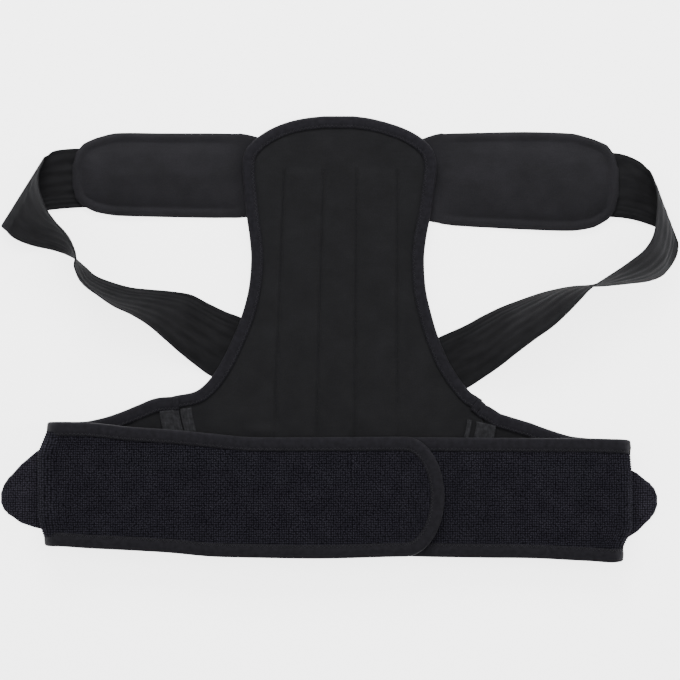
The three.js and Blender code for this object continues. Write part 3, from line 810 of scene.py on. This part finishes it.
for side in ("left", "right"):
    strip, size = lay_strip(side, f"{side}_seam_tape")
    inner_strip, _ = lay_strip(side, f"{side}_inner_seam_tape")

# The shoulder pads: foam in a knit cover, sewn behind the panel's upper corners. A stitched line runs
# round inside the rolled edge, and the strap goes under the outer end.

PAD_WIDTH = 0.078
PAD_MIDDLE = panel_base + 0.3355
PAD_THICK = 0.0082
PAD_FLANGE = 0.0018
PAD_TUCK = 0.063
PAD_SEAM = 0.075
PAD_ROLL = 0.0086
RIM_SWELL = {"high": 0.001, "from_edge": 0.0042, "wide": 0.0034}
SEAM_GROOVE = {"deep": 0.0003, "wide": 0.0009}
FOAM_SLOPE = 0.013
PAD_GRID = (110, 60)

pad_columns = ("run", "left_top", "left_bottom", "right_top", "right_bottom", "plump", "over")
pad_rows = (
    (0, 0.45, -0.43, 0.42, -0.45, 0, 0),
    (0.14, 0.52, -0.45, 0.52, -0.515, 0, 0),
    (0.165, 0.52, -0.455, 0.52, -0.53, 0.22, 0),
    (0.21, 0.522, -0.455, 0.525, -0.545, 0.55, 0),
    (0.3, 0.525, -0.455, 0.53, -0.56, 0.95, 0),
    (0.55, 0.525, -0.445, 0.54, -0.59, 1, 0.3),
    (0.78, 0.525, -0.43, 0.52, -0.605, 1, 1),
    (0.88, 0.47, -0.39, 0.455, -0.565, 1, 1),
    (0.945, 0.4, -0.32, 0.385, -0.48, 1, 1),
    (0.98, 0.3, -0.24, 0.27, -0.38, 1, 1),
    (1, 0.16, -0.1, 0.12, -0.2, 1, 1),
)
pads = {"left": {"side": -1, "reach": 0.166}, "right": {"side": 1, "reach": 0.176}}
STRAP_LAYER = 0.0022


def pad_place(name, pad, run, across):
    """A place on the pad seen from above, and its row of the table."""
    row = value_at(pad_columns, pad_rows, run)
    x = PAD_TUCK + (PAD_SEAM + pad["reach"] - PAD_TUCK) * run
    top = PAD_MIDDLE + row[f"{name}_top"] * PAD_WIDTH
    bottom = PAD_MIDDLE + row[f"{name}_bottom"] * PAD_WIDTH
    return Vector((middle_x + pad["side"] * x, bottom + (top - bottom) * across, 0)), row


def pad_edges(name, pad, count=267):
    """Points along the pad's two long edges and its outer end, ready to be searched."""
    tree = KDTree(3 * count)
    for i in range(count):
        share = i / (count - 1)
        tree.insert(pad_place(name, pad, share, 0)[0], i)
        tree.insert(pad_place(name, pad, share, 1)[0], i + count)
        tree.insert(pad_place(name, pad, 1, share)[0], i + 2 * count)
    tree.balance()
    return tree


def pad_face(name, pad, tree, upper):
    """Places on the pad's cover or backing: flat flange, rolled rim, stitched groove and foam."""

    def place(u, v):
        run = 1 - (1 - u) ** 1.3
        point, row = pad_place(name, pad, run, v)
        edge = tree.find(point)[2]
        floor = max(row["over"], 0) * STRAP_LAYER
        lip = 0.5 * PAD_FLANGE * (1 - math.exp(-edge / 0.0008))
        from_rim = (edge - RIM_SWELL["from_edge"]) / RIM_SWELL["wide"]
        rolled = RIM_SWELL["high"] * math.exp(-(from_rim**2))
        groove = SEAM_GROOVE["deep"] * math.exp(-(((edge - PAD_ROLL) / SEAM_GROOVE["wide"]) ** 2))
        plump = min(max(row["plump"], 0), 1)
        crown = 1 - math.exp(-((max(edge - PAD_ROLL, 0) / FOAM_SLOPE) ** 1.05))
        foam = (PAD_THICK - PAD_FLANGE) * plump * crown
        wrinkle = noise.noise(Vector((point.x * 38, point.y * 60, 2))) * 0.0007
        wrinkle += noise.noise(Vector((point.x * 190, point.y * 120, 9))) * 0.00022
        if not upper:
            return Vector((point.x, point.y, floor + 0.5 * PAD_FLANGE - lip)), (point.x, point.y)
        calm = 1 - math.exp(-((edge / 0.01) ** 2))
        rise = lip + (rolled - groove) * plump + foam + wrinkle * calm * plump
        return Vector((point.x, point.y, floor + 0.5 * PAD_FLANGE + rise)), (point.x, point.y)

    return place


def close_pad(name, faces):
    """The upper and lower covers joined along their edge into one closed pad."""
    bm = bmesh.new()
    for face in faces:
        bm.from_mesh(face.data)
        bpy.data.objects.remove(face)
    bmesh.ops.remove_doubles(bm, verts=bm.verts, dist=0.00002)
    bmesh.ops.recalc_face_normals(bm, faces=bm.faces)
    mesh = bpy.data.meshes.new(name)
    bm.to_mesh(mesh)
    bm.free()
    for face in mesh.polygons:
        face.use_smooth = True
    piece = bpy.data.objects.new(name, mesh)
    bpy.context.scene.collection.objects.link(piece)
    return piece


pad_knit = knit_cloth("pad_knit", (0.0096, 0.0093, 0.0113), (0.0142, 0.0135, 0.0166))
for name, pad in pads.items():
    tree = pad_edges(name, pad)
    faces = [
        lay_cloth(f"{name}_pad_cover", PAD_GRID, pad_face(name, pad, tree, True), flat_up),
        lay_cloth(f"{name}_pad_backing", PAD_GRID, pad_face(name, pad, tree, False), -flat_up),
    ]
    shoulder_pad = close_pad(f"{name}_foam_pad", faces)
    shoulder_pad.data.materials.append(pad_knit)
    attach(shoulder_pad, "root")
    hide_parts(f"{name}_shoulder_pad")

# The straps: broad elastic webbing with raised ribs, its back face coloured lighter than its front.
# Each comes from under its pad, folds over on the slant, stands up in a half turn and runs flat
# behind the panel, where they cross.

STRAP_WIDTH = 0.055
STRAP_WALL = 0.0011
STRAP_REACH = 0.304
ARM_DROP = 0.2
RIB_HEIGHT = 0.0008
RIB_BEND = 0.5
STRAP_LEVEL = 0.0009
STRAP_WAVE = 0.0005
WAVE_ONSET = 0.001
STRAP_GRID = (66, 300)

# Ribs across the strap: the place and width of each as shares of the strap's width, and its height
# as a share of the highest one's. Four broad ones, two fine cords near one edge, a hem along both.
strap_ribs = (
    (0.025, 0.018, 0.55),
    (0.16, 0.062, 1.0),
    (0.345, 0.05, 0.8),
    (0.53, 0.06, 0.9),
    (0.7, 0.045, 0.75),
    (0.815, 0.018, 0.55),
    (0.89, 0.02, 0.6),
    (0.975, 0.018, 0.55),
)

strap_columns = ("out_high", "up_high", "out_low", "up_low", "lift_high", "lift_low", "bow", "over")
strap_rows = {
    "left": (
        (0.675, 0.851, 0.675, 0.599, 0, 0, 0, 0),
        (0.772, 0.855, 0.746, 0.592, 0, 0, 0, 0),
        (0.822, 0.851, 0.822, 0.585, 0, 0, 0, 0),
        (0.85, 0.842, 0.888, 0.572, 0, 0, 0, 0),
        (0.867, 0.824, 0.964, 0.545, 0.02, 0.02, 0, 0),
        (0.876, 0.812, 1.001, 0.509, 0.1, 0.09, 0, 0),
        (0.878, 0.792, 0.985, 0.48, 0.2, 0.14, 0, 0),
        (0.888, 0.752, 0.976, 0.464, 0.26, 0.13, 0, 0),
        (0.89, 0.704, 0.96, 0.446, 0.34, 0.1, 0.02, 0),
        (0.882, 0.645, 0.933, 0.428, 0.44, 0.07, 0.05, 0),
        (0.864, 0.581, 0.898, 0.412, 0.55, 0.04, 0.08, 0),
        (0.837, 0.522, 0.861, 0.401, 0.65, 0.02, 0.12, 0),
        (0.811, 0.471, 0.828, 0.387, 0.72, 0.01, 0.12, 0),
        (0.788, 0.419, 0.805, 0.374, 0.77, 0.01, 0.06, 0),
        (0.775, 0.369, 0.783, 0.356, 0.79, 0.01, 0, 0),
        (0.778, 0.318, 0.754, 0.32, 0.78, 0.01, -0.06, 0),
        (0.757, 0.261, 0.725, 0.282, 0.74, 0.01, -0.12, 0),
        (0.718, 0.202, 0.68, 0.254, 0.68, 0.01, -0.12, 0),
        (0.667, 0.146, 0.621, 0.229, 0.61, 0.01, -0.1, 0),
        (0.613, 0.106, 0.562, 0.219, 0.53, 0.01, -0.07, 0),
        (0.563, 0.057, 0.5, 0.211, 0.43, 0.01, -0.05, 0),
        (0.518, -0.004, 0.441, 0.196, 0.3, 0.01, -0.02, 0),
        (0.473, -0.065, 0.391, 0.158, 0.15, 0.01, 0, 0),
        (0.423, -0.126, 0.337, 0.119, 0.04, 0, 0, 0),
        (0.373, -0.176, 0.287, 0.09, 0, 0, 0, 0),
        (0.252, -0.243, 0.175, 0.005, 0, 0, 0, 1),
        (0.124, -0.337, 0.053, -0.085, 0, 0, 0, 1),
        (-0.003, -0.41, -0.068, -0.157, 0, 0, 0, 1),
        (-0.175, -0.508, -0.24, -0.256, 0, 0, 0, 1),
        (-0.382, -0.625, -0.447, -0.373, 0, 0, 0, 0.6),
        (-0.559, -0.725, -0.61, -0.47, 0, 0, 0, 0),
        (-0.698, -0.8425, -0.698, -0.5675, 0, 0, 0, 0),
    ),
    "right": (
        (0.695, 0.837, 0.695, 0.554, 0, 0, 0, 0),
        (0.799, 0.837, 0.787, 0.549, 0, 0, 0, 0),
        (0.846, 0.826, 0.858, 0.538, 0, 0, 0, 0),
        (0.888, 0.797, 0.923, 0.509, 0, 0, 0, 0),
        (0.908, 0.768, 0.97, 0.473, 0.02, 0.02, 0, 0),
        (0.919, 0.748, 0.996, 0.445, 0.1, 0.09, 0, 0),
        (0.925, 0.717, 1, 0.414, 0.22, 0.13, 0, 0),
        (0.932, 0.675, 0.999, 0.396, 0.32, 0.12, 0.02, 0),
        (0.934, 0.624, 0.996, 0.375, 0.42, 0.1, 0.05, 0),
        (0.932, 0.567, 0.987, 0.345, 0.51, 0.07, 0.08, 0),
        (0.927, 0.509, 0.972, 0.311, 0.59, 0.04, 0.1, 0),
        (0.916, 0.452, 0.95, 0.279, 0.66, 0.02, 0.12, 0),
        (0.893, 0.398, 0.911, 0.258, 0.71, 0.01, 0.12, 0),
        (0.858, 0.354, 0.867, 0.25, 0.75, 0.01, 0.1, 0),
        (0.82, 0.312, 0.823, 0.243, 0.77, 0.01, 0.06, 0),
        (0.778, 0.27, 0.778, 0.237, 0.79, 0.01, 0.02, 0),
        (0.735, 0.225, 0.733, 0.235, 0.79, 0.01, -0.03, 0),
        (0.706, 0.178, 0.689, 0.234, 0.77, 0.01, -0.08, 0),
        (0.668, 0.117, 0.644, 0.223, 0.72, 0.01, -0.12, 0),
        (0.624, 0.054, 0.591, 0.203, 0.65, 0.01, -0.1, 0),
        (0.573, -0.002, 0.533, 0.173, 0.57, 0.01, -0.08, 0),
        (0.521, -0.063, 0.475, 0.14, 0.46, 0.01, -0.05, 0),
        (0.47, -0.126, 0.42, 0.1, 0.3, 0.01, -0.02, 0),
        (0.42, -0.18, 0.367, 0.056, 0.12, 0, 0, 0),
        (0.367, -0.232, 0.305, 0.014, 0, 0, 0, 0),
        (0.24, -0.328, 0.175, -0.077, 0, 0, 0, 0),
        (0.067, -0.416, 0.004, -0.16, 0, 0, 0, 0),
        (-0.118, -0.511, -0.178, -0.254, 0, 0, 0, 0),
        (-0.325, -0.614, -0.385, -0.358, 0, 0, 0, 0),
        (-0.535, -0.716, -0.589, -0.455, 0, 0, 0, 0),
        (-0.76, -0.8175, -0.76, -0.5425, 0, 0, 0, 0),
    ),
}
strap_origin_y = panel_base + 0.1915


def strap_line(name, side, v):
    """The strap's two edges at a share of its course, and how far it bows between them."""
    row = row_at(strap_columns, strap_rows[name], v)
    ends = []
    for end in ("high", "low"):
        x = middle_x + side * row[f"out_{end}"] * STRAP_REACH
        y = strap_origin_y + row[f"up_{end}"] * ARM_DROP
        lift = max(row[f"lift_{end}"], 0) * STRAP_WIDTH + max(row["over"], 0) * STRAP_LAYER
        ends.append(Vector((x, y, STRAP_LEVEL + lift)))
    return ends, row["bow"]


def lay_strap(name, side, count):
    """Places on the strap's outer face, the way it faces at its start, and its length."""
    lines = [strap_line(name, side, i / count) for i in range(count + 1)]
    middles = [(high + low) / 2 for (high, low), _ in lines]
    normals = []
    run = [0.0]
    for i, ((high, low), _) in enumerate(lines):
        along = middles[min(i + 1, count)] - middles[max(i - 1, 0)]
        normals.append(along.cross(low - high).normalized())
        if i:
            run.append(run[-1] + (middles[i] - middles[i - 1]).length)

    def place(u, v):
        i = round(v * count)
        (high, low), bow = lines[i]
        ribs = sum(height * math.exp(-(((u - at) / wide) ** 2)) for at, wide, height in strap_ribs)
        bend = normals[max(i - 3, 0)].angle(normals[min(i + 3, count)])
        calm = math.exp(-((bend / RIB_BEND) ** 2))
        rise = bow * STRAP_WIDTH * math.sin(math.pi * u) + RIB_HEIGHT * ribs * calm
        sway = noise.noise(Vector((run[i] * 60, u * 2, side * 4))) + 0.5
        wave = STRAP_WAVE * sway * min(abs(rise) / WAVE_ONSET, 1)
        point = high.lerp(low, u) + normals[i] * rise
        point.z += wave + RIB_HEIGHT * max(0, -normals[i].z)
        return point, (u * STRAP_WIDTH, run[i])

    return place, normals[0], run[-1]


def elastic_cloth(name, dark, light):
    """Ribbed elastic webbing: lengthwise yarns crossed by a fine weft, with a soft gloss."""
    material, tree, shader = make_cloth(name, 0.8, 0, 0.06)
    flat = tree.nodes.new("ShaderNodeTexCoord").outputs["UV"]
    yarns = texture(tree, "Wave", flat, (420, 0, 0), Distortion=0.5, bands_direction="X")
    weft = texture(tree, "Wave", flat, (0, 480, 0), Distortion=0.6, bands_direction="Y")
    dye = texture(tree, "Noise", flat, (120, 40, 120), Detail=4.0)
    cloth = ramp(tree, dye.outputs["Fac"], (0.3, dark), (0.7, light))
    shade = ramp(tree, weft.outputs["Fac"], (0.0, (0.75,) * 3), (0.7, (1.2,) * 3))
    tree.links.new(multiplied(tree, cloth, shade, 0.7), shader.inputs["Base Color"])
    fine = raised(tree, shader, yarns.outputs["Fac"], 0.00012)
    raised(tree, shader, weft.outputs["Fac"], 0.0001, fine)
    return material


elastic_face = elastic_cloth("elastic_face", (0.0104, 0.0104, 0.0113), (0.0156, 0.0156, 0.0169))
# A lighter copy of the elastic for the strap's back face, which lightens the stretches where the strap
# folds over.
elastic_back = elastic_cloth("elastic_back", (0.0162, 0.0162, 0.0176), (0.024, 0.024, 0.0258))
for name, side in (("left", -1), ("right", 1)):
    place, facing, length = lay_strap(name, side, STRAP_GRID[1])
    strap = lay_cloth(f"{name}_elastic_strap", STRAP_GRID, place, facing, STRAP_WALL, 0.0)
    sides = (elastic_face, elastic_back) if facing.z > 0 else (elastic_back, elastic_face)
    for cloth in sides:
        strap.data.materials.append(cloth)
    strap.modifiers["Wall"].material_offset = 1
    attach(strap, "root")
    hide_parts(f"{name}_strap")

# The pull tabs: flat shields faced with the belt's loop cloth on the straps' ends, with a rounded
# tip that sticks out past each fold of the belt.

TAB_LENGTH = 0.073
TAB_WIDTH = 0.078
TAB_WALL = 0.0024
TAB_GRID = (50, 50)

tab_columns = ("run", "top", "bottom")
tab_rows = (
    (0, 0.06, -0.06),
    (0.035, 0.145, -0.14),
    (0.09, 0.215, -0.205),
    (0.25, 0.35, -0.33),
    (0.51, 0.5, -0.44),
    (0.75, 0.53, -0.46),
    (1, 0.46, -0.44),
)
tabs = {
    "left": {"side": -1, "reach": 0.3055, "rise": -0.0015, "lean": 0.0121},
    "right": {"side": 1, "reach": 0.2859, "rise": -0.0041, "lean": -0.0094},
}


def tab_face(tab, upper):
    """Places on the tab's face or back, from its rounded tip inwards."""

    def place(u, v):
        run = u**1.6
        row = value_at(tab_columns, tab_rows, run)
        x = middle_x + tab["side"] * (tab["reach"] - run * TAB_LENGTH)
        middle = belt_y + tab["rise"] + tab["lean"] * run
        y = middle + (row["bottom"] + (row["top"] - row["bottom"]) * v) * TAB_WIDTH
        edge = min(v, 1 - v) * (row["top"] - row["bottom"]) * TAB_WIDTH
        edge = min(edge, run * TAB_LENGTH)
        half = TAB_WALL / 2 * (1 - math.exp(-edge / 0.0007))
        return Vector((x, y, TAB_WALL / 2 + (half if upper else -half))), (x, y)

    return place


tab_pile = pile_cloth("tab_pile", (0.0129, 0.0122, 0.0162), (0.0195, 0.0184, 0.024))
for name, tab in tabs.items():
    faces = [
        lay_cloth(f"{name}_tab_face", TAB_GRID, tab_face(tab, True), flat_up),
        lay_cloth(f"{name}_tab_back", TAB_GRID, tab_face(tab, False), -flat_up),
    ]
    pull_tab = close_pad(f"{name}_tab", faces)
    pull_tab.data.materials.append(tab_pile)
    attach(pull_tab, "root")
    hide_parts(f"{name}_pull_tab")

# The stage: a pale floor under soft studio light, seen from straight above through a long lens.

VIEW_WIDTH = 0.612
LENS = 200
SENSOR = 36
FOCUS_LEVEL = 0.005
CAMERA_Y = -0.0014
FLOOR_GLOW = 3.4
FLOOR_HALF = 4
FLOOR_DROP = 0.0003


def make_floor():
    """A wide white sheet just under the piece, lit from within so that it stays pale."""
    bm = bmesh.new()
    bmesh.ops.create_grid(bm, x_segments=1, y_segments=1, size=FLOOR_HALF)
    bmesh.ops.translate(bm, verts=bm.verts, vec=(0, 0, -FLOOR_DROP))
    mesh = bpy.data.meshes.new("floor")
    bm.to_mesh(mesh)
    bm.free()
    floor = bpy.data.objects.new("floor", mesh)
    bpy.context.scene.collection.objects.link(floor)
    white = bpy.data.materials.new("pale_floor")
    white.use_nodes = True
    shader = white.node_tree.nodes["Principled BSDF"]
    shader.inputs["Base Color"].default_value = (0.9, 0.9, 0.9, 1)
    shader.inputs["Roughness"].default_value = 0.9
    shader.inputs["Emission Color"].default_value = (1, 1, 1, 1)
    shader.inputs["Emission Strength"].default_value = FLOOR_GLOW
    floor.data.materials.append(white)


def add_softbox(name, place, size, power):
    """A rectangular lamp that points at the middle of the frame."""
    lamp = bpy.data.lights.new(name, "AREA")
    lamp.shape = "RECTANGLE"
    lamp.size, lamp.size_y = size
    lamp.energy = power
    light = bpy.data.objects.new(name, lamp)
    light.location = place
    light.rotation_euler = (-Vector(place)).to_track_quat("-Z", "Y").to_euler()
    bpy.context.scene.collection.objects.link(light)


make_floor()
add_softbox("overhead_light", (0, 0.3, 2.3), (2.0, 2.0), 18)
add_softbox("top_light", (-0.2, 1.7, 1.2), (1.6, 0.8), 42)
add_softbox("right_light", (1.7, 0.1, 0.8), (0.7, 1.6), 19)
add_softbox("left_light", (-1.6, 0.2, 0.9), (0.6, 1.4), 9)

world = bpy.data.worlds.new("studio")
world.use_nodes = True
world.node_tree.nodes["Background"].inputs["Color"].default_value = (1, 1, 1, 1)
world.node_tree.nodes["Background"].inputs["Strength"].default_value = 0.4
bpy.context.scene.world = world

lens = bpy.data.cameras.new("camera")
lens.lens = LENS
lens.sensor_width = SENSOR
lens.clip_end = 20
camera = bpy.data.objects.new("camera", lens)
camera.location = (middle_x, CAMERA_Y, VIEW_WIDTH * LENS / SENSOR + FOCUS_LEVEL)
bpy.context.scene.collection.objects.link(camera)
bpy.context.scene.camera = camera
